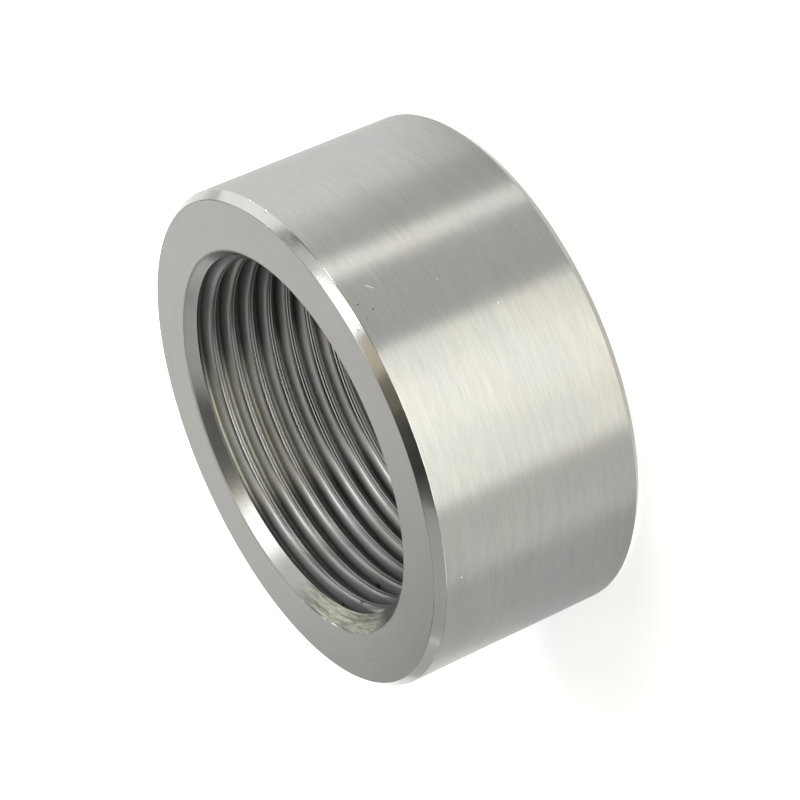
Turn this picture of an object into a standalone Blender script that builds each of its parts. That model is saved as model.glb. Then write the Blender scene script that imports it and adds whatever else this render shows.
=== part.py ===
"""Weld-in pipe socket: a short stainless ring with a parallel pipe thread right through it.

The ring stands on its weld end. The origin is the centre of that end face, +Z runs up the
bore to the mouth, and +X is where the thread's phase is measured. Lengths are in metres.
"""
import math

import bmesh
import bpy

MM = 0.001

# Turned ring
OUTER_DIAMETER = 55.0 * MM
LENGTH = 25.0 * MM
MOUTH_CHAMFER_LENGTH = 1.0 * MM    # measured along the bore
MOUTH_CHAMFER_DEPTH = 0.8 * MM     # measured inwards from the outer wall
WELD_CHAMFER = 1.0 * MM            # 45 degrees, at the end that is welded in
COUNTERSINK_DIAMETER = 42.5 * MM   # at both end faces, a little over the thread's major size
COUNTERSINK_SLOPE = math.radians(45)

# Parallel pipe thread, nominal 1 1/4 inch, with the 55 degree Whitworth form
MAJOR_DIAMETER = 41.910 * MM
PITCH = 25.4 * MM / 11
FLANK_ANGLE = math.radians(27.5)   # each flank leans this far from the radius
THREAD_HAND = -1                   # -1 winds as in the photograph, +1 is the mirror image
GROOVE_START_DEPTH = 1.375 * MM    # groove's centre below the mouth face, where it passes +X

# Sizes that follow from the thread form
SHARP_HEIGHT = PITCH / (2 * math.tan(FLANK_ANGLE))
THREAD_DEPTH = SHARP_HEIGHT * 2 / 3
ROOT_RADIUS = SHARP_HEIGHT / 6 * math.sin(FLANK_ANGLE) / (1 - math.sin(FLANK_ANGLE))
MAJOR_RADIUS = MAJOR_DIAMETER / 2
MINOR_RADIUS = MAJOR_RADIUS - THREAD_DEPTH

# Facets
STEPS_PER_TURN = 72
ROOT_SEGMENTS = 3
MERGE_DISTANCE = 0.00001

# Tools
PILOT_RADIUS = MINOR_RADIUS - 1.5 * MM    # the turned hole, before the tap opens it
TAP_OVERRUN = 1.0 * MM                    # how far the tap stands out of each end face

STEEL_COLOUR = (0.62, 0.61, 0.59, 1.0)
STEEL_ROUGHNESS = 0.3
SMOOTH_ANGLE = math.radians(30)


def clear_scene():
    for obj in list(bpy.data.objects):
        bpy.data.objects.remove(obj, do_unlink=True)


def make_collection(name):
    collection = bpy.data.collections.new(name)
    bpy.context.scene.collection.children.link(collection)
    return collection


def make_steel():
    steel = bpy.data.materials.new("stainless_steel")
    steel.use_nodes = True
    shader = steel.node_tree.nodes["Principled BSDF"]
    shader.inputs["Base Color"].default_value = STEEL_COLOUR
    shader.inputs["Metallic"].default_value = 1.0
    shader.inputs["Roughness"].default_value = STEEL_ROUGHNESS
    return steel


def ring_profile():
    """Half section of the ring as (radius, height), down the outer wall and back up the hole."""
    outer = OUTER_DIAMETER / 2
    mouth = COUNTERSINK_DIAMETER / 2
    sink_depth = (mouth - PILOT_RADIUS) / math.tan(COUNTERSINK_SLOPE)
    return [
        (mouth, LENGTH),
        (outer - MOUTH_CHAMFER_DEPTH, LENGTH),
        (outer, LENGTH - MOUTH_CHAMFER_LENGTH),
        (outer, WELD_CHAMFER),
        (outer - WELD_CHAMFER, 0.0),
        (mouth, 0.0),
        (PILOT_RADIUS, sink_depth),
        (PILOT_RADIUS, LENGTH - sink_depth),
    ]


def make_ring(collection, steel):
    """The turned blank: its half section swept round the axis."""
    bm = bmesh.new()
    corners = [bm.verts.new((radius, 0.0, height)) for radius, height in ring_profile()]
    for i, corner in enumerate(corners):
        bm.edges.new((corner, corners[(i + 1) % len(corners)]))
    mesh = bpy.data.meshes.new("socket_body")
    bm.to_mesh(mesh)
    bm.free()

    ring = bpy.data.objects.new("socket_body", mesh)
    ring.data.materials.append(steel)
    collection.objects.link(ring)

    turn = ring.modifiers.new("turn", 'SCREW')
    turn.axis = 'Z'
    turn.steps = STEPS_PER_TURN
    turn.render_steps = STEPS_PER_TURN
    turn.use_merge_vertices = True
    turn.merge_threshold = MERGE_DISTANCE
    return ring


def thread_section():
    """One pitch of the thread's surface as (radius, height), from the top down.

    A groove is centred on height 0: a straight flank, a rounded root that touches the major
    diameter, and the other flank. The flat crest below it ends where the next turn starts.
    """
    centre = MAJOR_RADIUS - ROOT_RADIUS
    half_arc = math.pi / 2 - FLANK_ANGLE
    half_groove = (MAJOR_RADIUS + SHARP_HEIGHT / 6 - MINOR_RADIUS) * math.tan(FLANK_ANGLE)
    section = [(MINOR_RADIUS, half_groove)]
    for i in range(ROOT_SEGMENTS + 1):
        angle = half_arc * (1 - 2 * i / ROOT_SEGMENTS)
        section.append((centre + ROOT_RADIUS * math.cos(angle), ROOT_RADIUS * math.sin(angle)))
    section.append((MINOR_RADIUS, -half_groove))
    section.append((MINOR_RADIUS, half_groove - PITCH))
    return section


def close_end(bm, height, keep_below):
    """Cut the open sweep square at a height and cap it there."""
    cut = bmesh.ops.bisect_plane(
        bm,
        geom=bm.verts[:] + bm.edges[:] + bm.faces[:],
        dist=MERGE_DISTANCE,
        plane_co=(0, 0, height),
        plane_no=(0, 0, 1),
        clear_outer=keep_below,
        clear_inner=not keep_below,
    )
    rim = [item for item in cut["geom_cut"] if isinstance(item, bmesh.types.BMEdge)]
    bmesh.ops.edgeloop_fill(bm, edges=rim)


def make_tap(collection):
    """A solid tap: the thread's section swept down a helix that runs past both end faces.

    Its steps start half a step round from the ring's, so no two edges lie on each other.
    """
    top = LENGTH - GROOVE_START_DEPTH + 2 * PITCH
    turns = math.ceil((top + 2 * PITCH) / PITCH)
    step = -THREAD_HAND * math.tau / STEPS_PER_TURN
    drop = PITCH / STEPS_PER_TURN

    bm = bmesh.new()
    line = []
    for radius, height in thread_section():
        x = radius * math.cos(step / 2)
        y = radius * math.sin(step / 2)
        line.append(bm.verts.new((x, y, top + height - drop / 2)))
    for upper, lower in zip(line, line[1:]):
        bm.edges.new((upper, lower))
    bmesh.ops.spin(
        bm,
        geom=bm.verts[:] + bm.edges[:],
        cent=(0, 0, 0),
        axis=(0, 0, 1),
        dvec=(0, 0, -drop),
        angle=step * STEPS_PER_TURN * turns,
        steps=STEPS_PER_TURN * turns,
    )
    bmesh.ops.remove_doubles(bm, verts=bm.verts, dist=MERGE_DISTANCE)
    close_end(bm, LENGTH + TAP_OVERRUN, keep_below=True)
    close_end(bm, -TAP_OVERRUN, keep_below=False)
    bmesh.ops.recalc_face_normals(bm, faces=bm.faces)
    mesh = bpy.data.meshes.new("thread_tap")
    bm.to_mesh(mesh)
    bm.free()

    tap = bpy.data.objects.new("thread_tap", mesh)
    tap.hide_render = True
    tap.display_type = 'WIRE'
    collection.objects.link(tap)
    return tap


def cut_thread(ring, tap):
    cut = ring.modifiers.new("thread", 'BOOLEAN')
    cut.operation = 'DIFFERENCE'
    cut.solver = 'EXACT'
    cut.object = tap


def shade_round(ring):
    ring.data.shade_smooth()
    ring.data.set_sharp_from_angle(angle=SMOOTH_ANGLE)


def main():
    clear_scene()
    parts = make_collection("weld_in_socket")
    cutters = make_collection("cutters")
    ring = make_ring(parts, make_steel())
    cut_thread(ring, make_tap(cutters))
    shade_round(ring)


main()
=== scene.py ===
# %% [markdown]
# # A weld-in pipe socket
#
# The real object is one short ring of stainless steel. It is turned from bar on a lathe, drilled,
# countersunk at both ends and tapped right through with a parallel pipe thread. Then its outer wall
# is ground. One end is welded into a tank or a pipe, and a male fitting screws into the other.
#
# The CAD model already has the right sizes, but its thread is made of coarse facets. This lesson
# builds the same ring again with a fine thread and soft edges, and then gives each surface the
# finish that its own machining leaves.

import math

import bmesh
import bpy
from mathutils import Matrix, Vector


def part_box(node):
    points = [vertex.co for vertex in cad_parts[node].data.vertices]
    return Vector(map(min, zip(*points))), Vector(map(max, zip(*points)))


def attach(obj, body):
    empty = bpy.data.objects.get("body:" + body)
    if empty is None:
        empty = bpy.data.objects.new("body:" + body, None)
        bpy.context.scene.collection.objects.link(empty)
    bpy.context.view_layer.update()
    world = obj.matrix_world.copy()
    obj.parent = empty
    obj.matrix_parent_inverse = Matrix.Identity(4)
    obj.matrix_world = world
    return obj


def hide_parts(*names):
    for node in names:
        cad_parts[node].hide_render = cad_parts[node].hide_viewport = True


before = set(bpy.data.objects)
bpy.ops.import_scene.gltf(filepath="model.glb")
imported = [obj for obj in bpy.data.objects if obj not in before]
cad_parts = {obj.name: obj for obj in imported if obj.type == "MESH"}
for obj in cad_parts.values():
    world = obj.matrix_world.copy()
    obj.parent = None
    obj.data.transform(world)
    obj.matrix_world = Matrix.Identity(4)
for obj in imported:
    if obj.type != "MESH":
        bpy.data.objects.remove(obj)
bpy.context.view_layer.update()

# %% [markdown]
# ## Sizes
#
# The outer size comes from the CAD box, so the fine ring can't grow out of it. The thread follows
# the 55 degree pipe thread form: everything in its section is worked out from the pitch, the flank
# angle and the major diameter. The crests in the photograph are wide, so the hole was drilled a
# little over its smallest allowed size, and the minor diameter here is 0.2 mm more than the CAD's.
# The thread winds to the left, as it does in the photograph, and a hand of 1 would turn it round.

# %% Sizes of the ring and its thread
MM = 0.001
INCH = 25.4 * MM
ring_low, ring_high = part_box("socket_body")
OUTER_RADIUS = ring_high.x
# The ring stands on a height of 0, so the top of its box is its length.
LENGTH = ring_high.z
MOUTH_CHAMFER_LENGTH = 1.0 * MM
MOUTH_CHAMFER_DEPTH = 0.8 * MM
WELD_CHAMFER = 1.0 * MM
MOUTH_RADIUS = 21.25 * MM

TURNS_PER_INCH = 11
PITCH = INCH / TURNS_PER_INCH
FLANK_ANGLE = math.radians(27.5)
MAJOR_RADIUS = 41.910 * MM / 2
SHARP_HEIGHT = PITCH / (2 * math.tan(FLANK_ANGLE))
DRILLED_OVER = 0.1 * MM
MINOR_RADIUS = MAJOR_RADIUS - SHARP_HEIGHT * 2 / 3 + DRILLED_OVER
ROOT_RADIUS = SHARP_HEIGHT / 6 * math.sin(FLANK_ANGLE) / (1 - math.sin(FLANK_ANGLE))
THREAD_HAND = -1
# On the +X side, the middle of the groove lies this far below the mouth.
GROOVE_START_DEPTH = 1.33 * MM
print("ring", round(OUTER_RADIUS * 2 / MM, 2), "x", round(LENGTH / MM, 2), "mm,",
      "standing at", round(ring_low.z / MM, 2), "mm")
print("thread pitch", round(PITCH / MM, 3), "mm")
print("minor diameter", round(MINOR_RADIUS * 2 / MM, 3), "mm")

# %% [markdown]
# ## The turned blank
#
# A lathe makes a shape whose section is the same all the way round, so the blank is a half section
# spun about Z. The countersinks run down to a pilot hole that is narrower than the thread, because
# the tap will open it.

# %% Spin the half section into a ring
STEPS = 288
PILOT_ALLOWANCE = 1.5 * MM
PILOT_RADIUS = MINOR_RADIUS - PILOT_ALLOWANCE
SINK_DEPTH = MOUTH_RADIUS - PILOT_RADIUS
# Two points that are closer than this count as one.
MERGE = 0.001 * MM

half_section = [
    (PILOT_RADIUS, LENGTH - SINK_DEPTH),
    (MOUTH_RADIUS, LENGTH),
    (OUTER_RADIUS - MOUTH_CHAMFER_DEPTH, LENGTH),
    (OUTER_RADIUS, LENGTH - MOUTH_CHAMFER_LENGTH),
    (OUTER_RADIUS, WELD_CHAMFER),
    (OUTER_RADIUS - WELD_CHAMFER, 0.0),
    (MOUTH_RADIUS, 0.0),
    (PILOT_RADIUS, SINK_DEPTH),
]


def spin_blank():
    """Turn the closed half section once round Z and close the seam."""
    bm = bmesh.new()
    corners = [bm.verts.new((radius, 0, height)) for radius, height in half_section]
    for i, corner in enumerate(corners):
        bm.edges.new((corner, corners[(i + 1) % len(corners)]))
    bmesh.ops.spin(bm, geom=bm.verts[:] + bm.edges[:], cent=(0, 0, 0), axis=(0, 0, 1),
                   angle=math.tau, steps=STEPS, use_merge=True)
    bmesh.ops.remove_doubles(bm, verts=bm.verts, dist=MERGE)
    bmesh.ops.recalc_face_normals(bm, faces=bm.faces)
    return bm


blank = spin_blank()
print("spun blank:", len(blank.faces), "faces")

# %% [markdown]
# ## Surfaces and corners
#
# Each face gets the number of the surface that it belongs to, and the number picks its finish
# later. Then the corners that run round the ring are bevelled a little: a real edge is never quite
# sharp, and its thin round catches the light. The rims of the countersinks get a wider round than
# the outer corners.

# %% Number the surfaces and round the corners
WALL, CHAMFER, FACE, SINK, THREAD = range(5)
CORNER_ANGLE = math.radians(20)
CORNER_ROUND = 0.06 * MM
MOUTH_ROUND = 0.13 * MM
ROUND_SEGMENTS = 2
# The middle of a flat step of the wall lies this far from the axis.
STEP_RADIUS = OUTER_RADIUS * math.cos(math.pi / STEPS)


def surface_of(face):
    """The machined surface that a face of the blank belongs to."""
    centre = face.calc_center_median()
    radius = math.hypot(centre.x, centre.y)
    if radius < MOUTH_RADIUS - MERGE:
        return SINK
    if centre.z > LENGTH - MERGE or centre.z < MERGE:
        return FACE
    if radius > STEP_RADIUS - MERGE:
        return WALL
    return CHAMFER


def is_corner(edge):
    """True for an edge that runs round the ring, outside the bore, where two surfaces meet."""
    first, second = edge.verts
    level = abs(first.co.z - second.co.z) < MERGE
    outside = min(first.co.xy.length, second.co.xy.length) > MOUTH_RADIUS - MERGE
    return level and outside and edge.calc_face_angle() > CORNER_ANGLE


def round_corners(bm):
    """Bevel the corners that run round the ring, the rims of the countersinks wider."""
    corners = [edge for edge in bm.edges if is_corner(edge)]
    mouth_rims = [edge for edge in corners if edge.verts[0].co.xy.length < MOUTH_RADIUS + MERGE]
    outer_corners = [edge for edge in corners if edge not in mouth_rims]
    for edges, offset in ((mouth_rims, MOUTH_ROUND), (outer_corners, CORNER_ROUND)):
        bmesh.ops.bevel(bm, geom=edges, offset=offset, segments=ROUND_SEGMENTS, profile=0.5,
                        affect='EDGES', material=-1)
    print("corners:", len(corners), "edges rounded")


for face in blank.faces:
    face.material_index = surface_of(face)
round_corners(blank)
blank_mesh = bpy.data.meshes.new("ring_blank")
blank.to_mesh(blank_mesh)
blank.free()
print("finished blank:", len(blank_mesh.polygons), "faces")

# %% [markdown]
# ## The thread's section
#
# Every pitch of the thread has the same section, so it is drawn once, as a line of points. The
# photograph shows two bright lips on each crest with a dark valley between them, which is what a
# cutting tap leaves, so the crest has two rounded beads instead of one flat. The bead on the mouth
# side is the bigger one. The flank that the camera sees also bends slowly towards its crest, as the
# broad highlights in the photograph show, and the groove is a little shallower than a new tap's.

# %% Draw one pitch of the thread
MOUTH_LIP_RADIUS = 0.15 * MM
DEEP_LIP_RADIUS = 0.10 * MM
VALLEY_TURN = math.radians(72)
WORN_RADIUS = 1.6 * MM
WORN_TURN = math.radians(20)
TAP_WEAR = 0.08 * MM
GROOVE_TIP = MAJOR_RADIUS + SHARP_HEIGHT / 6 - TAP_WEAR
LIP_SEGMENTS = 7
WORN_SEGMENTS = 5
ROOT_SEGMENTS = 8


def arc(centre, radius, start, end, segments):
    """Points (radius, height) on an arc, at angles counted from the outward radius."""
    points = []
    for i in range(segments + 1):
        angle = start + (end - start) * i / segments
        points.append((centre[0] + radius * math.cos(angle), centre[1] + radius * math.sin(angle)))
    return points


def lip(radius):
    """The crest side of the hidden flank: a bead from the valley over its top to the flank."""
    half_groove = (GROOVE_TIP - MINOR_RADIUS) * math.tan(FLANK_ANGLE)
    drop = radius * (1 / math.cos(FLANK_ANGLE) - math.tan(FLANK_ANGLE))
    centre = (MINOR_RADIUS + radius, half_groove + drop)
    return arc(centre, radius, -math.pi - VALLEY_TURN, -math.pi / 2 - FLANK_ANGLE, LIP_SEGMENTS)


def worn_flank(radius):
    """The seen flank, from its straight part over a slow curve to its bead and the valley."""
    steep = FLANK_ANGLE + WORN_TURN
    start_radius = (MINOR_RADIUS + radius + (WORN_RADIUS - radius) * math.sin(steep)
                    - WORN_RADIUS * math.sin(FLANK_ANGLE))
    start_height = -(GROOVE_TIP - start_radius) * math.tan(FLANK_ANGLE)
    curve_centre = (start_radius + WORN_RADIUS * math.sin(FLANK_ANGLE),
                    start_height - WORN_RADIUS * math.cos(FLANK_ANGLE))
    bead_centre = (MINOR_RADIUS + radius,
                   curve_centre[1] + (WORN_RADIUS - radius) * math.cos(steep))
    slow = arc(curve_centre, WORN_RADIUS, math.pi / 2 + FLANK_ANGLE, math.pi / 2 + steep,
               WORN_SEGMENTS)
    bead = arc(bead_centre, radius, math.pi / 2 + steep, math.pi + VALLEY_TURN, LIP_SEGMENTS)
    return slow + bead[1:]


def thread_section():
    """One pitch as (radius, height) from the top down: lip, root, worn flank, next turn."""
    half_arc = math.pi / 2 - FLANK_ANGLE
    root_centre = (GROOVE_TIP - ROOT_RADIUS / math.sin(FLANK_ANGLE), 0)
    root = arc(root_centre, ROOT_RADIUS, half_arc, -half_arc, ROOT_SEGMENTS)
    upper = lip(DEEP_LIP_RADIUS)
    lower = worn_flank(MOUTH_LIP_RADIUS)
    next_turn = (upper[0][0], upper[0][1] - PITCH)
    return upper + root + lower + [next_turn]


print("thread section:", len(thread_section()), "points for one pitch")

# %% [markdown]
# ## The tap
#
# A thread is one section swept down a helix. Spin makes the first turn, because it can drop while
# it turns, and the other turns are copies of it. Each turn ends where the next starts, so the open
# sweep, cut square at both ends and capped, becomes a solid tap.

# %% Sweep the section down a helix
THREAD_STEPS = 240
SPARE_LENGTH = 2 * PITCH
TAP_OVERRUN = 1.0 * MM


def sweep_one_turn(bm, top):
    """Sweep the section once round, dropping by one pitch."""
    step = -THREAD_HAND * math.tau / THREAD_STEPS
    drop = PITCH / THREAD_STEPS
    turn_half_step = Matrix.Rotation(step / 2, 4, 'Z')
    line = [bm.verts.new(turn_half_step @ Vector((radius, 0, top + height - drop / 2)))
            for radius, height in thread_section()]
    for upper, lower in zip(line, line[1:]):
        bm.edges.new((upper, lower))
    bmesh.ops.spin(bm, geom=bm.verts[:] + bm.edges[:], cent=(0, 0, 0), axis=(0, 0, 1),
                   dvec=(0, 0, -drop), angle=step * THREAD_STEPS, steps=THREAD_STEPS)


def cap_end(bm, height, keep_below):
    """Cut the sweep square at a height, throw one side away, and close the hole."""
    cut = bmesh.ops.bisect_plane(bm, geom=bm.verts[:] + bm.edges[:] + bm.faces[:], dist=MERGE,
                                 plane_co=(0, 0, height), plane_no=(0, 0, 1),
                                 clear_outer=keep_below, clear_inner=not keep_below)
    rim = [item for item in cut["geom_cut"] if isinstance(item, bmesh.types.BMEdge)]
    bmesh.ops.edgeloop_fill(bm, edges=rim)


def make_tap():
    top = LENGTH - GROOVE_START_DEPTH + SPARE_LENGTH
    turns = math.ceil((top + SPARE_LENGTH) / PITCH)
    bm = bmesh.new()
    sweep_one_turn(bm, top)
    first_turn = bm.verts[:] + bm.edges[:] + bm.faces[:]
    for turn in range(1, turns):
        copy = bmesh.ops.duplicate(bm, geom=first_turn)["geom"]
        moved = [item for item in copy if isinstance(item, bmesh.types.BMVert)]
        bmesh.ops.translate(bm, verts=moved, vec=(0, 0, -turn * PITCH))
    bmesh.ops.remove_doubles(bm, verts=bm.verts, dist=2 * MERGE)
    cap_end(bm, LENGTH + TAP_OVERRUN, keep_below=True)
    cap_end(bm, -TAP_OVERRUN, keep_below=False)
    bmesh.ops.recalc_face_normals(bm, faces=bm.faces)
    for face in bm.faces:
        face.material_index = THREAD
    mesh = bpy.data.meshes.new("thread_tap")
    bm.to_mesh(mesh)
    bm.free()
    print("tap:", turns, "turns,", len(mesh.polygons), "faces")
    return mesh


tap_mesh = make_tap()

# %% [markdown]
# ## Cut the thread
#
# A Boolean difference takes the tap out of the blank, as the real tap does, so the thread runs out
# on the countersinks without any extra work. The result is made a plain mesh, and the tap is
# deleted. Smooth shading would bend the light over the flat surfaces beside each round, so a
# Weighted Normal modifier at its full weight lets the biggest faces decide.

# %% Tap the blank
SURFACES = ["ground_wall", "turned_chamfer", "faced_end", "countersink", "tapped_thread"]
SHARP_ANGLE = math.radians(28)
FULL_WEIGHT = 100
steel = {name: bpy.data.materials.new(name) for name in SURFACES}


def add_object(name, mesh):
    piece = bpy.data.objects.new(name, mesh)
    bpy.context.scene.collection.objects.link(piece)
    return piece


def tap_blank():
    ring = add_object("threaded_ring", blank_mesh)
    tap = add_object("thread_tap", tap_mesh)
    for name in SURFACES:
        blank_mesh.materials.append(steel[name])
        tap_mesh.materials.append(steel[name])
    cut = ring.modifiers.new("tap", 'BOOLEAN')
    cut.operation = 'DIFFERENCE'
    cut.solver = 'MANIFOLD'
    cut.object = tap
    finished = bpy.data.meshes.new_from_object(
        ring.evaluated_get(bpy.context.evaluated_depsgraph_get()))
    ring.modifiers.clear()
    ring.data = finished
    finished.name = "threaded_ring"
    bpy.data.objects.remove(tap)
    return ring


ring = tap_blank()
ring.data.shade_smooth()
ring.data.set_sharp_from_angle(angle=SHARP_ANGLE)
flat = ring.modifiers.new("flat_stays_flat", 'WEIGHTED_NORMAL')
flat.mode = 'FACE_AREA'
flat.weight = FULL_WEIGHT
flat.keep_sharp = True
print("ring:", len(ring.data.polygons), "faces")
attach(ring, "root")
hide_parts("socket_body")

# %% [markdown]
# ## The camera
#
# The photograph looks down into the mouth from about 25 degrees above the mouth's plane, with the
# camera rolled over on its side. The camera's place, turn and lens come from a fit to the ring's
# outline, end face, mouth and crests in the photograph. It comes before the finishes, because the
# marks on the steel are placed by where the photograph shows them.

# %% Place the camera
IMAGE_SIZE = 800
# The sensor's width and the lens are in millimetres.
SENSOR = 36
LENS = 156.852
camera_place = Vector((-0.00040889, -0.33197714, 0.16184814))
camera_right = Vector((-0.40121529, -0.37778546, -0.83444858))
camera_up = Vector((0.91598378, -0.16547597, -0.36550159))
camera_back = Vector((0.0, -0.9109862, 0.41243684))

camera_data = bpy.data.cameras.new("camera")
camera_data.sensor_width = SENSOR
camera_data.lens = LENS
camera = bpy.data.objects.new("camera", camera_data)
turn = Matrix((camera_right, camera_up, camera_back)).transposed().to_4x4()
camera.matrix_world = Matrix.Translation(camera_place) @ turn
bpy.context.scene.collection.objects.link(camera)
bpy.context.scene.camera = camera
bpy.context.scene.view_settings.view_transform = 'Standard'
print("camera", round(camera_place.length, 3), "m from the foot of the ring")

# %% [markdown]
# ## Finding a spot on the steel
#
# A mark on the real ring has a place in the photograph. A ray from the camera through that pixel
# meets the ring at the mark's place in metres, so the mark then stays on the steel from any side.

# %% Shoot a ray through a pixel
def spot_on_ring(pixel_x, pixel_y):
    """The point of the ring that the camera sees at a pixel of the square image."""
    across = (pixel_x - IMAGE_SIZE / 2) / IMAGE_SIZE * SENSOR / LENS
    upward = (IMAGE_SIZE / 2 - pixel_y) / IMAGE_SIZE * SENSOR / LENS
    direction = camera_right * across + camera_up * upward - camera_back
    hit, place, _, _ = ring.ray_cast(camera_place, direction.normalized())
    if not hit:
        raise ValueError("no steel at pixel " + str((pixel_x, pixel_y)))
    return place


bpy.context.view_layer.update()
middle = spot_on_ring(IMAGE_SIZE / 2, IMAGE_SIZE / 2)
print("the middle of the image shows the point", [round(v / MM, 1) for v in middle], "mm")

# %% [markdown]
# ## Node helpers
#
# Every finish is built from the same few nodes, so short helpers add them and wire them up. A
# source is either a plain number or the output of an earlier node. A Mix node has a set of sockets
# for each kind of data, with the same names in each, so its colour sockets are picked by number.

# %% Add and wire nodes
COLOUR_A = 6
COLOUR_B = 7
COLOUR_OUT = 2


def add_node(material, kind, sources=(), **settings):
    """Add a node, set its options, and feed its inputs, given as (input, source) pairs."""
    tree = material.node_tree
    node = tree.nodes.new("ShaderNode" + kind)
    for option, value in settings.items():
        setattr(node, option, value)
    for socket, source in sources:
        if isinstance(source, bpy.types.NodeSocket):
            tree.links.new(source, node.inputs[socket])
        else:
            node.inputs[socket].default_value = source
    return node


def calculate(material, operation, *sources):
    """A Math node on one, two or three numbers."""
    return add_node(material, "Math", list(enumerate(sources)), operation=operation).outputs[0]


def ease(material, value, low, high, to_low=0.0, to_high=1.0):
    """A smooth step that goes from to_low at low to to_high at high."""
    pairs = [("Value", value), ("From Min", low), ("From Max", high),
             ("To Min", to_low), ("To Max", to_high)]
    return add_node(material, "MapRange", pairs, interpolation_type='SMOOTHSTEP').outputs[0]


def blend_colours(material, share, first, second, how='MIX'):
    """The first colour, with so much of the second in it."""
    pairs = [(0, share), (COLOUR_A, first), (COLOUR_B, second)]
    mix = add_node(material, "Mix", pairs, data_type='RGBA', blend_type=how)
    return mix.outputs[COLOUR_OUT]


def shade_colour(material, colour, shade):
    """The colour, made darker by a shade under 1 and lighter by one over 1."""
    return blend_colours(material, 1.0, colour, shade, 'MULTIPLY')


# %% [markdown]
# ## Places on the ring
#
# A pattern has to know where on the ring it is. Object coordinates give that in metres from the
# centre of the foot. Two numbers follow from them: the distance from the axis, which says how deep
# a point lies in the thread, and how far it lies towards one side, for what shows on one side only.

# %% Measure where a point lies
def place_on_steel(material):
    return add_node(material, "TexCoord").outputs["Object"]


def distance_from_axis(material):
    flat = add_node(material, "VectorMath", [(0, place_on_steel(material)), (1, (1, 1, 0))],
                    operation='MULTIPLY').outputs[0]
    return add_node(material, "VectorMath", [(0, flat)], operation='LENGTH').outputs["Value"]


def distance_to_side(material, side):
    """How far a point lies from the axis towards the side at this angle."""
    towards = (math.cos(side), math.sin(side), 0)
    return add_node(material, "VectorMath", [(0, place_on_steel(material)), (1, towards)],
                    operation='DOT_PRODUCT').outputs["Value"]


def near_side(material, side, outer, inner, away=0.0, near=1.0):
    """A step round the axis: away beyond the outer angle from a side, near within the inner."""
    cosine = calculate(material, 'DIVIDE', distance_to_side(material, side),
                       distance_from_axis(material))
    return ease(material, cosine, math.cos(outer), math.cos(inner), away, near)


# %% [markdown]
# ## Machining lines and clouds
#
# Every tool that worked on the ring went round its axis, so its lines run round it too. A noise
# that is squeezed along the ring's section and stretched along x and y gives such lines: they are
# long and thin, they end here and there as real ones do, and they meet without a seam. The same
# noise without the squeezing gives soft clouds, for stains and for grain.

# %% Lines that run round the axis, and clouds
UP_THE_WALL = (0, 1)
ACROSS_THE_END = (1, 0)
DOWN_THE_CHAMFER = (1, -1)
LINE_BREAKUP = 0.6
CLOUD_BREAKUP = 0.5
# A noise mostly stays near 0.5, so a pattern takes its whole swing from the middle of the range.
WIDE_RANGE = (0.3, 0.7)
NARROW_RANGE = (0.35, 0.65)


def machining_lines(material, section_run, spacing, reach, detail=3.0, seed=0.0):
    """Noise lines round Z. The run says how far the section goes in radius and in height."""
    radius_share, height_share = section_run
    place = add_node(material, "SeparateXYZ", [(0, place_on_steel(material))]).outputs
    along = calculate(material, 'MULTIPLY', distance_from_axis(material), radius_share / spacing)
    along = calculate(material, 'MULTIPLY_ADD', place["Z"], height_share / spacing, along)
    pairs = [(0, calculate(material, 'MULTIPLY_ADD', place["X"], 1 / reach, seed)),
             (1, calculate(material, 'MULTIPLY', place["Y"], 1 / reach)), (2, along)]
    squeezed = add_node(material, "CombineXYZ", pairs).outputs[0]
    pairs = [("Vector", squeezed), ("Scale", 1.0), ("Detail", detail),
             ("Roughness", LINE_BREAKUP)]
    return add_node(material, "TexNoise", pairs).outputs[0]


def clouds(material, size, detail=2.0, seed=0.0):
    """Soft patches of about the given size."""
    pairs = [("Vector", place_on_steel(material)), ("W", seed), ("Scale", 1 / size),
             ("Detail", detail), ("Roughness", CLOUD_BREAKUP)]
    return add_node(material, "TexNoise", pairs, noise_dimensions='4D').outputs[0]


# %% [markdown]
# ## Marks
#
# Pits, nicks, scratches and smudges are single places, so each is a small ellipsoid. A Mapping node
# of the texture kind moves to the mark, turns along it and divides by its size, and what is left is
# a plain distance from the centre: under 1 is inside the mark. A mark is written as the pixels
# where it starts and ends, and its width.

# %% A mask for one mark, and for several
# The share of a mark that shows at full strength. The rest of it fades out.
CORE = 0.5


def mark_mask(material, start, end, width, core=CORE):
    """1 in the core of the mark that runs between two pixels, falling to 0 at its edge."""
    first, last = spot_on_ring(*start), spot_on_ring(*end)
    run = last - first
    turn_along = run.to_track_quat('X', 'Z').to_euler()
    half_length = run.length / 2 + width / 2
    local = add_node(material, "Mapping", [
        ("Vector", place_on_steel(material)), ("Location", (first + last) / 2),
        ("Rotation", turn_along), ("Scale", (half_length, width / 2, width / 2))],
        vector_type='TEXTURE').outputs[0]
    reach = add_node(material, "VectorMath", [(0, local)], operation='LENGTH').outputs["Value"]
    return ease(material, reach, core, 1.0, 1.0, 0.0)


def all_marks(material, marks, core=CORE):
    """The strongest of the masks of several marks."""
    strongest = mark_mask(material, *marks[0], core)
    for mark in marks[1:]:
        strongest = calculate(material, 'MAXIMUM', strongest, mark_mask(material, *mark, core))
    return strongest


# %% [markdown]
# ## Steel
#
# All five finishes are one metal. What differs is how rough the tool left it and whether the
# roughness has a direction. The Tangent node runs round Z. With the anisotropic rotation at a
# quarter turn, a reflection stays sharp round the ring and is drawn out long across the lines. The
# plain colour and roughness set here show until a finish wires its own patterns over them.

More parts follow.
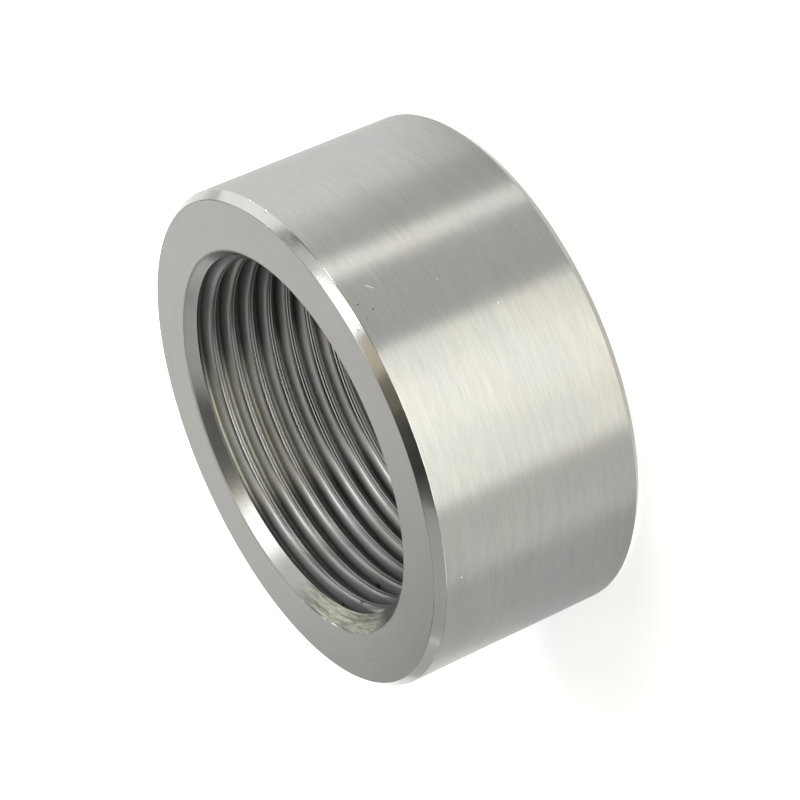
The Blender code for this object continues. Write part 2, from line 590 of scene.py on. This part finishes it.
# %% The shader that the five finishes share
QUARTER_TURN = 0.25
NO_TINT = (1, 1, 1, 1)
GREY_STEEL = (0.365, 0.364, 0.352, 1)
FACED_STEEL = (0.43, 0.428, 0.406, 1)
TURNED_STEEL = (0.41, 0.408, 0.39, 1)


def make_steel(name, roughness, anisotropy, edge_tint=NO_TINT):
    material = steel[name]
    material.use_nodes = True
    shader = material.node_tree.nodes["Principled BSDF"]
    shader.inputs["Metallic"].default_value = 1.0
    shader.inputs["Roughness"].default_value = roughness
    shader.inputs["Anisotropic"].default_value = anisotropy
    shader.inputs["Anisotropic Rotation"].default_value = QUARTER_TURN
    shader.inputs["Base Color"].default_value = GREY_STEEL
    shader.inputs["Specular Tint"].default_value = edge_tint
    tangent = add_node(material, "Tangent", direction_type='RADIAL', axis='Z')
    feed(material, "Tangent", tangent.outputs[0])
    return material


def feed(material, socket, source):
    """Wire a source to the material's Principled shader."""
    shader = material.node_tree.nodes["Principled BSDF"]
    material.node_tree.links.new(source, shader.inputs[socket])


def raise_bumps(material, height, depth, under=None):
    """Bump by the height map, on top of the bumps of an earlier call."""
    pairs = [("Height", height), ("Distance", depth), ("Strength", 1.0)]
    if under is not None:
        pairs.append(("Normal", under))
    return add_node(material, "Bump", pairs).outputs[0]


# %% [markdown]
# ## The marks on the wall
#
# Handling has left pits, a few short scratches and greasy smudges on the wall. No two of them are
# alike, so each is written down on its own, with its place and its size.

# %% List the marks on the wall
WALL_PITS = [
    ((357, 304), (358, 304.5), 0.28 * MM), ((373, 309), (373.5, 309.4), 0.24 * MM),
    ((367, 318), (367.4, 318.4), 0.20 * MM), ((442.3, 558.6), (442.9, 559.4), 0.28 * MM),
    ((357.4, 320), (358.4, 326), 0.26 * MM),
]
WALL_SCRATCHES = [
    ((363, 284.5), (375, 288.8), 0.10 * MM), ((436, 278), (438, 279.4), 0.08 * MM),
    ((497, 301), (499, 304), 0.09 * MM), ((438, 592.5), (446, 590.5), 0.10 * MM),
    ((441, 601), (445, 600), 0.10 * MM), ((461, 577), (462, 577.6), 0.14 * MM),
]
WALL_SMUDGES = [
    ((279, 168.5), (289, 165), 1.1 * MM), ((345, 150), (356, 146.5), 1.0 * MM),
    ((398, 141), (408, 137), 1.3 * MM), ((447, 652), (461, 645), 1.6 * MM),
]
print("wall:", len(WALL_PITS), "pits,", len(WALL_SCRATCHES), "scratches")
print("wall:", len(WALL_SMUDGES), "smudges")

# %% [markdown]
# ## The ground wall
#
# The wall was ground while it turned. Its lines are fine and even, with broader streaks under them,
# and the light lies over them in broad bands along the axis. Plain metal turns white where it is
# seen at a slant. On this ring the grinding lines hold that back, and the grey edge tint does the
# same for the wall and for the chamfers beside it.

# %% Finish the wall
EDGE_TINT = (0.8, 0.8, 0.8, 1)
WARM_STEEL = (0.367, 0.362, 0.341, 1)
COOL_STEEL = (0.353, 0.354, 0.349, 1)
SMUDGE_BROWN = (0.30, 0.28, 0.22, 1)
SMUDGE_STRENGTH = 0.22
SMUDGE_CORE = 0.1
SCRATCH_WHITE = (0.95, 0.95, 0.92, 1)
PIT_BLACK = (0.06, 0.06, 0.05, 1)
PIT_STRENGTH = 0.75
PIT_DEPTH = 0.05 * MM
GRINDING_DEPTH = 0.004 * MM
FINE_SHARE = 0.7
BROAD_SHARE = 0.3
WALL_SHADES = (0.92, 1.08)
WALL_ROUGHNESS = (0.31, 0.35)


def finish_wall():
    material = make_steel("ground_wall", roughness=0.33, anisotropy=1.0, edge_tint=EDGE_TINT)
    fine = machining_lines(material, UP_THE_WALL, spacing=0.13 * MM, reach=2.2 * MM)
    broad = machining_lines(material, UP_THE_WALL, spacing=0.8 * MM, reach=12.0 * MM,
                            detail=2.0, seed=4.0)
    patches = ease(material, clouds(material, size=7 * MM), *NARROW_RANGE)
    colour = blend_colours(material, patches, COOL_STEEL, WARM_STEEL)
    streak = calculate(material, 'ADD', calculate(material, 'MULTIPLY', fine, FINE_SHARE),
                       calculate(material, 'MULTIPLY', broad, BROAD_SHARE))
    colour = shade_colour(material, colour, ease(material, streak, *WIDE_RANGE, *WALL_SHADES))
    smudge = all_marks(material, WALL_SMUDGES, SMUDGE_CORE)
    smudge = calculate(material, 'MULTIPLY', smudge, SMUDGE_STRENGTH)
    colour = blend_colours(material, smudge, colour, SMUDGE_BROWN)
    scratch = all_marks(material, WALL_SCRATCHES)
    colour = blend_colours(material, scratch, colour, SCRATCH_WHITE)
    pit = all_marks(material, WALL_PITS)
    dark = calculate(material, 'MULTIPLY', pit, PIT_STRENGTH)
    colour = blend_colours(material, dark, colour, PIT_BLACK)
    feed(material, "Base Color", colour)
    feed(material, "Roughness", ease(material, fine, *WIDE_RANGE, *WALL_ROUGHNESS))
    bumps = raise_bumps(material, fine, GRINDING_DEPTH)
    feed(material, "Normal", raise_bumps(material, pit, -PIT_DEPTH, bumps))
    print("wall finished with", len(material.node_tree.nodes), "nodes")


finish_wall()

# %% [markdown]
# ## The turned chamfers
#
# A chamfer is one pass of a sharp turning tool, so it is the shiniest surface, almost a mirror,
# with a few small bright chips along its edges.

# %% Finish the chamfers
CHIPS = [
    ((265, 210), (266.4, 211.2), 0.35 * MM), ((266.4, 227), (267, 227.8), 0.25 * MM),
    ((249, 200), (250, 201), 0.25 * MM), ((356.5, 324), (358.5, 329), 0.30 * MM),
]
CHIP_WHITE = (0.92, 0.92, 0.88, 1)
CHIP_HEIGHT = 0.04 * MM
TURNING_DEPTH = 0.002 * MM
CHAMFER_ROUGHNESS = (0.13, 0.20)


def finish_chamfers():
    material = make_steel("turned_chamfer", roughness=0.16, anisotropy=0.5, edge_tint=EDGE_TINT)
    lines = machining_lines(material, DOWN_THE_CHAMFER, spacing=0.10 * MM, reach=4.0 * MM)
    patches = clouds(material, size=3 * MM, detail=3.0, seed=2.0)
    colour = blend_colours(material, ease(material, patches, *NARROW_RANGE), TURNED_STEEL,
                           FACED_STEEL)
    chip = all_marks(material, CHIPS)
    colour = blend_colours(material, chip, colour, CHIP_WHITE)
    feed(material, "Base Color", colour)
    feed(material, "Roughness", ease(material, patches, *WIDE_RANGE, *CHAMFER_ROUGHNESS))
    bumps = raise_bumps(material, lines, TURNING_DEPTH)
    feed(material, "Normal", raise_bumps(material, chip, CHIP_HEIGHT, bumps))
    print("chamfers finished, with", len(CHIPS), "chips")


finish_chamfers()

# %% [markdown]
# ## The faced ends
#
# The ends were faced with a slow feed, which leaves a dull, even grey with a fine grain, and hardly
# any lines. Handling shows as soft patches, a little warmer or cooler than the rest. The rim
# between an end and its countersink looks deburred by hand, so it is rougher than the surfaces on
# both sides and mirrors nothing sharply.

# %% Finish the ends
HANDLED_STEEL = (0.422, 0.418, 0.402, 1)
GRAIN_DEPTH = 0.002 * MM
END_SHADES = (0.96, 1.04)
END_ROUGHNESS = (0.44, 0.52)
RIM_ROUGHNESS = 0.62
RIM_CORE = MOUTH_ROUND * 0.75
RIM_EDGE = MOUTH_ROUND * 1.1
# The lines and the grain are added up, so this range lies round 1.
SUM_RANGE = (0.7, 1.3)


def roughen_rim(material, plain):
    """The given roughness, which rises to RIM_ROUGHNESS on the rounded rim of a countersink."""
    beyond = calculate(material, 'SUBTRACT', distance_from_axis(material), MOUTH_RADIUS)
    off_rim = calculate(material, 'ABSOLUTE', beyond)
    on_rim = ease(material, off_rim, RIM_CORE, RIM_EDGE, 1.0, 0.0)
    return ease(material, on_rim, 0.0, 1.0, plain, RIM_ROUGHNESS)


def finish_ends():
    material = make_steel("faced_end", roughness=0.48, anisotropy=0.3)
    lines = machining_lines(material, ACROSS_THE_END, spacing=0.20 * MM, reach=5.0 * MM, seed=7.0)
    grain = clouds(material, size=0.12 * MM, seed=1.0)
    patches = ease(material, clouds(material, size=6 * MM, detail=3.0, seed=5.0), *NARROW_RANGE)
    colour = blend_colours(material, patches, FACED_STEEL, HANDLED_STEEL)
    shade = ease(material, calculate(material, 'ADD', lines, grain), *SUM_RANGE, *END_SHADES)
    feed(material, "Base Color", shade_colour(material, colour, shade))
    plain = ease(material, grain, *WIDE_RANGE, *END_ROUGHNESS)
    feed(material, "Roughness", roughen_rim(material, plain))
    feed(material, "Normal", raise_bumps(material, grain, GRAIN_DEPTH))
    print("ends finished with", len(material.node_tree.nodes), "nodes")


finish_ends()

# %% [markdown]
# ## The countersinks
#
# The countersink leads the male thread in. Most of it is smooth and shiny, but in one stretch the
# tool has torn the steel: that stretch is duller, yellowish and full of short lines and specks,
# with some longer arcs between them. A few bright burrs stand on its outer rim.

# %% Finish the countersinks
TORN_STRETCH = ((318, 598), (372, 633), 9.0 * MM)
TORN_CORE = 0.6
BURRS = [
    ((303, 601), (304, 603), 0.40 * MM), ((312, 611), (316, 614), 0.30 * MM),
    ((321, 617), (327, 621), 0.36 * MM), ((331, 623), (337, 626.5), 0.36 * MM),
]
BURR_WHITE = (0.95, 0.95, 0.88, 1)
TORN_STEEL = (0.50, 0.50, 0.42, 1)
SPECK_RANGE = (0.38, 0.64)
SPECK_SHADES = (0.72, 1.20)
ARC_RANGE = (0.36, 0.60)
ARC_SHADES = (0.62, 1.10)
SINK_ROUGHNESS = 0.27
TORN_ROUGHNESS = 0.46
SINK_LINE_DEPTH = 0.003 * MM
TEAR_DEPTH = 0.018 * MM


def finish_countersinks():
    material = make_steel("countersink", roughness=SINK_ROUGHNESS, anisotropy=0.5)
    lines = machining_lines(material, ACROSS_THE_END, spacing=0.09 * MM, reach=1.4 * MM,
                            detail=4.0, seed=3.0)
    arcs = machining_lines(material, ACROSS_THE_END, spacing=0.36 * MM, reach=6 * MM,
                           detail=2.0, seed=7.0)
    patches = ease(material, clouds(material, size=2.5 * MM, detail=3.0, seed=8.0), *NARROW_RANGE)
    colour = blend_colours(material, patches, TURNED_STEEL, FACED_STEEL)
    speck = ease(material, lines, *SPECK_RANGE, *SPECK_SHADES)
    ragged = shade_colour(material, TORN_STEEL, speck)
    ragged = shade_colour(material, ragged, ease(material, arcs, *ARC_RANGE, *ARC_SHADES))
    torn = mark_mask(material, *TORN_STRETCH, TORN_CORE)
    colour = blend_colours(material, torn, colour, ragged)
    colour = blend_colours(material, all_marks(material, BURRS), colour, BURR_WHITE)
    feed(material, "Base Color", colour)
    plain = ease(material, torn, 0.0, 1.0, SINK_ROUGHNESS, TORN_ROUGHNESS)
    feed(material, "Roughness", roughen_rim(material, plain))
    bumps = raise_bumps(material, lines, SINK_LINE_DEPTH)
    tears = calculate(material, 'MULTIPLY', lines, torn)
    feed(material, "Normal", raise_bumps(material, tears, TEAR_DEPTH, bumps))
    print("countersinks finished, with", len(BURRS), "burrs on the rim")


finish_countersinks()

# %% [markdown]
# ## The oil and the painted shade in the thread
#
# The tap leaves smooth flanks and bright lips on the crests. The roots are painted dark: a film of
# cutting oil and painted shade together. The fine corner beside each lip gets a line of painted
# shade. How far a point lies from the axis says which of them it is on. The film is thin enough to
# show brown and olive patches. At one side of the bore the roots are painted much lighter, with
# less of the painted shade, and the painted shade lines beside the lips show best there. Next to
# it, at the upper end of the bore in the camera's view, the whole thread, crests as well, is
# painted darker as shade.

# %% Colour the oiled steel, with painted shade in the roots
BARE_GREY = (0.50, 0.502, 0.49, 1)
BARE_WARM = (0.50, 0.492, 0.46, 1)
FILM_AND_SHADE_GREY = (0.26, 0.262, 0.246, 1)
FILM_AND_SHADE_OLIVE = (0.26, 0.254, 0.228, 1)
# The dark colour of the roots is cutting oil and painted shade together.
THICK_OIL_AND_SHADE = (0.11, 0.112, 0.109, 1)
OIL_CLOUD_RANGE = (0.42, 0.62)
PALE_ROOT_SIDE = math.radians(80)
PALE_ROOT_INNER = math.radians(14)
PALE_ROOT_OUTER = math.radians(28)
ROOT_OIL_SHADE_START = MINOR_RADIUS + 0.15 * MM
PALE_SIDE_OIL_SHADE_START = MINOR_RADIUS + 0.5 * MM
ROOT_OIL_SHADE_FULL = MAJOR_RADIUS - 0.15 * MM


def oiled_and_shaded_steel(material):
    """Bare steel on the crests, and oil with painted shade from part of the way down the flanks."""
    patches = clouds(material, size=4.5 * MM, seed=3.0)
    olive = ease(material, patches, *OIL_CLOUD_RANGE)
    bare = blend_colours(material, olive, BARE_GREY, BARE_WARM)
    film_and_shade = blend_colours(material, olive, FILM_AND_SHADE_GREY, FILM_AND_SHADE_OLIVE)
    # On one side of the bore the roots are painted paler, with less painted shade.
    paler_roots = near_side(material, PALE_ROOT_SIDE, PALE_ROOT_OUTER, PALE_ROOT_INNER)
    oil_and_shade = blend_colours(material, paler_roots, THICK_OIL_AND_SHADE, film_and_shade)
    oil_shade_start = ease(material, paler_roots, 0, 1, ROOT_OIL_SHADE_START, PALE_SIDE_OIL_SHADE_START)
    # The oil and the painted shade fill the roots, from part of the way down the flanks.
    in_root = ease(material, distance_from_axis(material), oil_shade_start, ROOT_OIL_SHADE_FULL)
    return blend_colours(material, in_root, bare, oil_and_shade)


# Where the oil and painted shade in the roots begin, and where on the paler side.
print("oil from", round((ROOT_OIL_SHADE_START - MINOR_RADIUS) / MM, 2), "mm below the crests")
print("on the wiped side from", round((PALE_SIDE_OIL_SHADE_START - MINOR_RADIUS) / MM, 2), "mm")

# %% [markdown]
# ## Shades on the thread
#
# Three shades go over that colour. The crests are a little duller than the flanks. The corner
# beside each lip gets a dark line of painted shade, strongest on the side with the paler roots. On
# one side of the bore the whole thread is painted darker, and that is painted shade as well.

# %% Shade the thread
CREST_SHADE = 0.66
DULL_END = MINOR_RADIUS + 0.3 * MM
LINE_START = (MINOR_RADIUS + 0.01 * MM, MINOR_RADIUS + 0.05 * MM)
LINE_END = (MINOR_RADIUS + 0.08 * MM, MINOR_RADIUS + 0.15 * MM)
LINE_SHADES = (0.94, 0.38)
LINED_INNER = math.radians(32)
LINED_OUTER = math.radians(62)
# The side of the bore where the whole thread is painted darker, as shade.
SHADED_SIDE = math.radians(10)
SHADED_INNER = math.radians(30)
SHADED_OUTER = math.radians(62)
SIDE_SHADE_FACTOR = 0.72


def shade_thread(material, colour):
    radius = distance_from_axis(material)
    dulled = ease(material, radius, MINOR_RADIUS, DULL_END, CREST_SHADE, 1.0)
    colour = shade_colour(material, colour, dulled)
    # A line of painted shade in the corner beside each lip, strongest on the paler-root side.
    past_lip = ease(material, radius, *LINE_START)
    on_flank = ease(material, radius, *LINE_END)
    beside_lip = calculate(material, 'SUBTRACT', past_lip, on_flank)
    line_shade = near_side(material, PALE_ROOT_SIDE, LINED_OUTER, LINED_INNER, *LINE_SHADES)
    painted_corner_shade = ease(material, beside_lip, 0.0, 1.0, 1.0, line_shade)
    colour = shade_colour(material, colour, painted_corner_shade)
    # Painted shade: the whole thread is darker on this side of the bore.
    side_shade = near_side(material, SHADED_SIDE, SHADED_OUTER, SHADED_INNER, 1.0, SIDE_SHADE_FACTOR)
    return shade_colour(material, colour, side_shade)


print("dark lines from", round((LINE_START[0] - MINOR_RADIUS) / MM, 2), "to",
      round((LINE_END[1] - MINOR_RADIUS) / MM, 2), "mm below the crests")

# %% [markdown]
# ## The tapped thread
#
# Last come the fine lines that the tap's teeth draw round the bore, a few black spots where the oil
# has caught dirt, and a roughness that grows from the rubbed crests down to the roots.

# %% Finish the thread
OIL_SPOTS = [
    ((377, 585), (379.5, 587), 0.9 * MM), ((361, 601), (363, 603), 0.7 * MM),
    ((342, 604), (344, 606), 0.7 * MM), ((291, 288), (292, 291), 0.5 * MM),
    ((317, 201), (319, 206), 0.6 * MM), ((286, 268), (289, 267), 0.4 * MM),
]
SPOT_CORE = 0.2
SPOT_BLACK = (0.03, 0.03, 0.025, 1)
SPOT_STRENGTH = 0.8
TAP_SHADES = (0.93, 1.07)
TAP_LINE_DEPTH = 0.0005 * MM
CREST_ROUGHNESS = 0.31
ROOT_ROUGHNESS = 0.52


def finish_thread():
    material = make_steel("tapped_thread", roughness=0.34, anisotropy=0.3)
    lines = machining_lines(material, UP_THE_WALL, spacing=0.10 * MM, reach=6.0 * MM, seed=6.0)
    colour = shade_thread(material, oiled_and_shaded_steel(material))
    colour = shade_colour(material, colour, ease(material, lines, *WIDE_RANGE, *TAP_SHADES))
    spot = all_marks(material, OIL_SPOTS, SPOT_CORE)
    spot = calculate(material, 'MULTIPLY', spot, SPOT_STRENGTH)
    feed(material, "Base Color", blend_colours(material, spot, colour, SPOT_BLACK))
    rubbed = ease(material, distance_from_axis(material), MINOR_RADIUS, MAJOR_RADIUS,
                  CREST_ROUGHNESS, ROOT_ROUGHNESS)
    feed(material, "Roughness", rubbed)
    feed(material, "Normal", raise_bumps(material, lines, TAP_LINE_DEPTH))
    print("thread finished, with", len(OIL_SPOTS), "spots of oil")


finish_thread()

# %% [markdown]
# ## The floor
#
# The background of the photograph is plain white. The floor is white paper that glows only for rays
# that come straight from the camera, or by way of metal or glass. With the light of the lamps on
# top, the camera sees it white. For every other ray it is plain paper, so it keeps the soft shadow
# of the ring. The wall mirrors the paper close to it, and in the photograph it is brighter on one
# side, so the paper glows more on that side. The paper inside the bore glows most, as if light came
# in from under the ring, and the flanks of the thread pass it on to each other.

# %% Lay the floor
FLOOR_HALF = 8.0
PAPER_WHITE = (0.8, 0.8, 0.8, 1)
PAPER_GLOW = 0.44
BORE_GLOW = 1.6
BRIGHT_SIDE_GLOW = 0.95
BRIGHT_SIDE = math.radians(62)
GLOW_CHANGE = (-4 * MM, 18 * MM)


def paper_glow(paper):
    """How strongly the paper glows, for the rays that see it glow."""
    rays = add_node(paper, "LightPath").outputs
    seen = calculate(paper, 'MAXIMUM', rays["Is Camera Ray"], rays["Is Glossy Ray"])
    seen = calculate(paper, 'MAXIMUM', seen, rays["Is Transmission Ray"])
    radius = distance_from_axis(paper)
    outside = ease(paper, radius, MAJOR_RADIUS, OUTER_RADIUS)
    inside = ease(paper, radius, MAJOR_RADIUS, OUTER_RADIUS, BORE_GLOW, 0.0)
    aside = distance_to_side(paper, BRIGHT_SIDE)
    strength = ease(paper, aside, *GLOW_CHANGE, PAPER_GLOW, BRIGHT_SIDE_GLOW)
    strength = calculate(paper, 'MULTIPLY_ADD', strength, outside, inside)
    return calculate(paper, 'MULTIPLY', seen, strength)


def add_floor():
    mesh = bpy.data.meshes.new("floor")
    bm = bmesh.new()
    bmesh.ops.create_grid(bm, x_segments=1, y_segments=1, size=FLOOR_HALF)
    bm.to_mesh(mesh)
    bm.free()
    floor = add_object("floor", mesh)
    paper = bpy.data.materials.new("white_paper")
    paper.use_nodes = True
    nodes, links = paper.node_tree.nodes, paper.node_tree.links
    nodes.clear()
    glow = add_node(paper, "Emission", [("Strength", paper_glow(paper))]).outputs[0]
    dull = add_node(paper, "BsdfDiffuse", [("Color", PAPER_WHITE)]).outputs[0]
    both = add_node(paper, "AddShader", [(0, dull), (1, glow)]).outputs[0]
    output = nodes.new("ShaderNodeOutputMaterial")
    links.new(both, output.inputs["Surface"])
    mesh.materials.append(paper)
    print("floor:", 2 * FLOOR_HALF, "m square")


add_floor()

# %% [markdown]
# ## The lamps
#
# Bare metal shows what stands round it, so the lamps are placed by what each surface mirrors. The
# wall looks low and sideways: its bright bands are low softboxes, and the dark bands between them
# are the gaps. The chamfer and the countersink look up. Their white stretch is a small high
# softbox, which also draws the highlights in the thread, and the brown stretch next to it is a pair
# of dim warm panels. The end face looks up and away from the camera, into the softbox at the back,
# which hangs close so that the face fades to one side.

# %% Hang the softboxes
LAMP_DISTANCE = 1.0
CLOSE_DISTANCE = 0.29
WHITE_LIGHT = (1, 1, 1)
FRONT_CREAM = (1.0, 0.985, 0.885)
SIDE_CREAM = (1.0, 0.98, 0.89)
PALE_CREAM = (1.0, 0.99, 0.92)
WARM_LIGHT = (1.0, 0.90, 0.70)
BROWN_LIGHT = (1.0, 0.85, 0.62)
ROOM_GREY = (0.07, 0.07, 0.07, 1)


def softbox(name, azimuth, elevation, width, height, radiance, colour=WHITE_LIGHT,
            distance=LAMP_DISTANCE):
    """A rectangular lamp that covers so many degrees of the sky round the ring."""
    az, el = math.radians(azimuth), math.radians(elevation)
    place = Vector((math.cos(el) * math.cos(az), math.cos(el) * math.sin(az), math.sin(el)))
    lamp = bpy.data.lights.new(name, 'AREA')
    lamp.shape = 'RECTANGLE'
    lamp.size = 2 * distance * math.tan(math.radians(width) / 2)
    lamp.size_y = 2 * distance * math.tan(math.radians(height) / 2)
    lamp.energy = radiance * math.pi * lamp.size * lamp.size_y
    lamp.color = colour
    lamp_object = bpy.data.objects.new(name, lamp)
    facing = place.to_track_quat('Z', 'Y').to_matrix().to_4x4()
    lamp_object.matrix_world = Matrix.Translation(place * distance) @ facing
    lamp_object.visible_camera = False
    bpy.context.scene.collection.objects.link(lamp_object)


# Each lamp has its azimuth, elevation, width and height in degrees, then its radiance, and then
# its colour if it isn't white.
softbox("front_softbox", -104.8, 9, 68, 18, 10.6, FRONT_CREAM)
softbox("front_core", -99, 9, 26, 18, 1.5, FRONT_CREAM)
softbox("low_strip", -157, 9, 36, 18, 2.3, SIDE_CREAM)
softbox("warm_strip", -31, 12, 9, 24, 8.0, PALE_CREAM)
softbox("right_softbox", 22, 15, 46, 32, 1.7)
softbox("right_low_strip", 54, 3, 20, 12, 1.1)
softbox("high_softbox", -32, 57, 24, 27, 3.9)
softbox("brown_panel", -66, 57, 13, 24, 0.9, WARM_LIGHT)
softbox("dark_brown_panel", -88, 54, 12, 20, 0.25, BROWN_LIGHT)
softbox("side_fill", 3, 45, 42, 22, 1.05)
softbox("left_softbox", 175, 34, 54, 54, 0.62)
softbox("rear_softbox", 131, 16, 36, 28, 0.72)
softbox("back_softbox", 82.5, 33, 28, 32, 1.60, distance=CLOSE_DISTANCE)
softbox("ceiling", 90, 80, 32, 30, 0.9)

# Where no softbox hangs, the metal mirrors a dim grey room.
world = bpy.data.worlds.new("studio")
world.use_nodes = True
world.node_tree.nodes["Background"].inputs["Color"].default_value = ROOM_GREY
bpy.context.scene.world = world
print("lamps:", len(bpy.data.lights))
